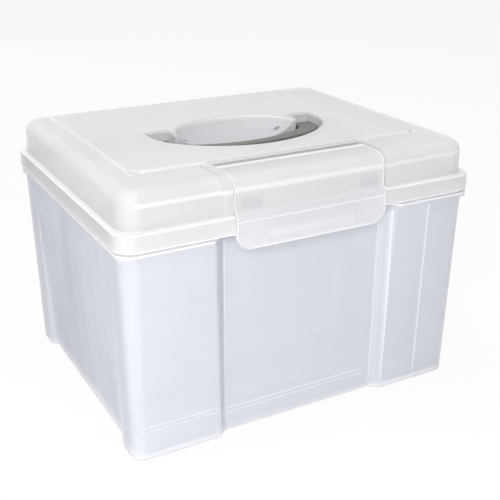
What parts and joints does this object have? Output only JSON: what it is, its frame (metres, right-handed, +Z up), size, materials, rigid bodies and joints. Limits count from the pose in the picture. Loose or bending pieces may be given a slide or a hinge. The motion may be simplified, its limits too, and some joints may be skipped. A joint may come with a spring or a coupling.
{
  "type": "photo storage box",
  "caption": "Frosted plastic photo box with a hinged domed lid, a wide front latch, a fold-flat carry handle and upright inner photo cases",
  "frame": {"origin": "centre of the whole box's outline, on the table", "axes": "+X along the front, to the right when facing it; +Y to the hinges at the back; +Z up"},
  "size_m": [0.27, 0.225, 0.188],
  "materials": {
    "frosted_plastic": "satin frosted",
    "grey_plastic": "satin",
    "case_plastic": "satin frosted"
  },
  "bodies": {
    "tub": {"tub": "frosted_plastic"},
    "lid": {"lid": "frosted_plastic"},
    "latch": {"latch": "frosted_plastic"},
    "handle": {"handle": "grey_plastic"},
    "case_1": {"case_1_tray": "case_plastic", "case_1_cover": "case_plastic"},
    "case_2": {"case_2_tray": "case_plastic", "case_2_cover": "case_plastic"},
    "case_3": {"case_3_tray": "case_plastic", "case_3_cover": "case_plastic"},
    "case_4": {"case_4_tray": "case_plastic", "case_4_cover": "case_plastic"},
    "case_5": {"case_5_tray": "case_plastic", "case_5_cover": "case_plastic"},
    "case_6": {"case_6_tray": "case_plastic", "case_6_cover": "case_plastic"},
    "side_case_1": {"side_case_1_tray": "case_plastic", "side_case_1_cover": "case_plastic"},
    "side_case_2": {"side_case_2_tray": "case_plastic", "side_case_2_cover": "case_plastic"},
    "side_case_3": {"side_case_3_tray": "case_plastic", "side_case_3_cover": "case_plastic"}
  },
  "joints": [
    {"name": "lid_hinge", "type": "hinge", "parent": "tub", "child": "lid", "pos_m": [0, 0.109, 0.146], "axis": [-1, 0, 0], "range_deg": [0, 105]},
    {"name": "latch_hinge", "type": "hinge", "parent": "lid", "child": "latch", "pos_m": [0, -0.082, 0.1834], "axis": [-1, 0, 0], "range_deg": [0, 100]},
    {"name": "handle_hinge", "type": "hinge", "parent": "lid", "child": "handle", "pos_m": [0, 0.00225, 0.17925], "axis": [-1, 0, 0], "range_deg": [0, 90]},
    {"name": "case_1_lift", "type": "slide", "parent": "tub", "child": "case_1", "axis": [0, 0, 1], "range_m": [0, 0.04]},
    {"name": "case_2_lift", "type": "slide", "parent": "tub", "child": "case_2", "axis": [0, 0, 1], "range_m": [0, 0.04]},
    {"name": "case_3_lift", "type": "slide", "parent": "tub", "child": "case_3", "axis": [0, 0, 1], "range_m": [0, 0.04]},
    {"name": "case_4_lift", "type": "slide", "parent": "tub", "child": "case_4", "axis": [0, 0, 1], "range_m": [0, 0.04]},
    {"name": "case_5_lift", "type": "slide", "parent": "tub", "child": "case_5", "axis": [0, 0, 1], "range_m": [0, 0.04]},
    {"name": "case_6_lift", "type": "slide", "parent": "tub", "child": "case_6", "axis": [0, 0, 1], "range_m": [0, 0.04]},
    {"name": "side_case_1_lift", "type": "slide", "parent": "tub", "child": "side_case_1", "axis": [0, 0, 1], "range_m": [0, 0.04]},
    {"name": "side_case_2_lift", "type": "slide", "parent": "tub", "child": "side_case_2", "axis": [0, 0, 1], "range_m": [0, 0.04]},
    {"name": "side_case_3_lift", "type": "slide", "parent": "tub", "child": "side_case_3", "axis": [0, 0, 1], "range_m": [0, 0.04]}
  ]
}
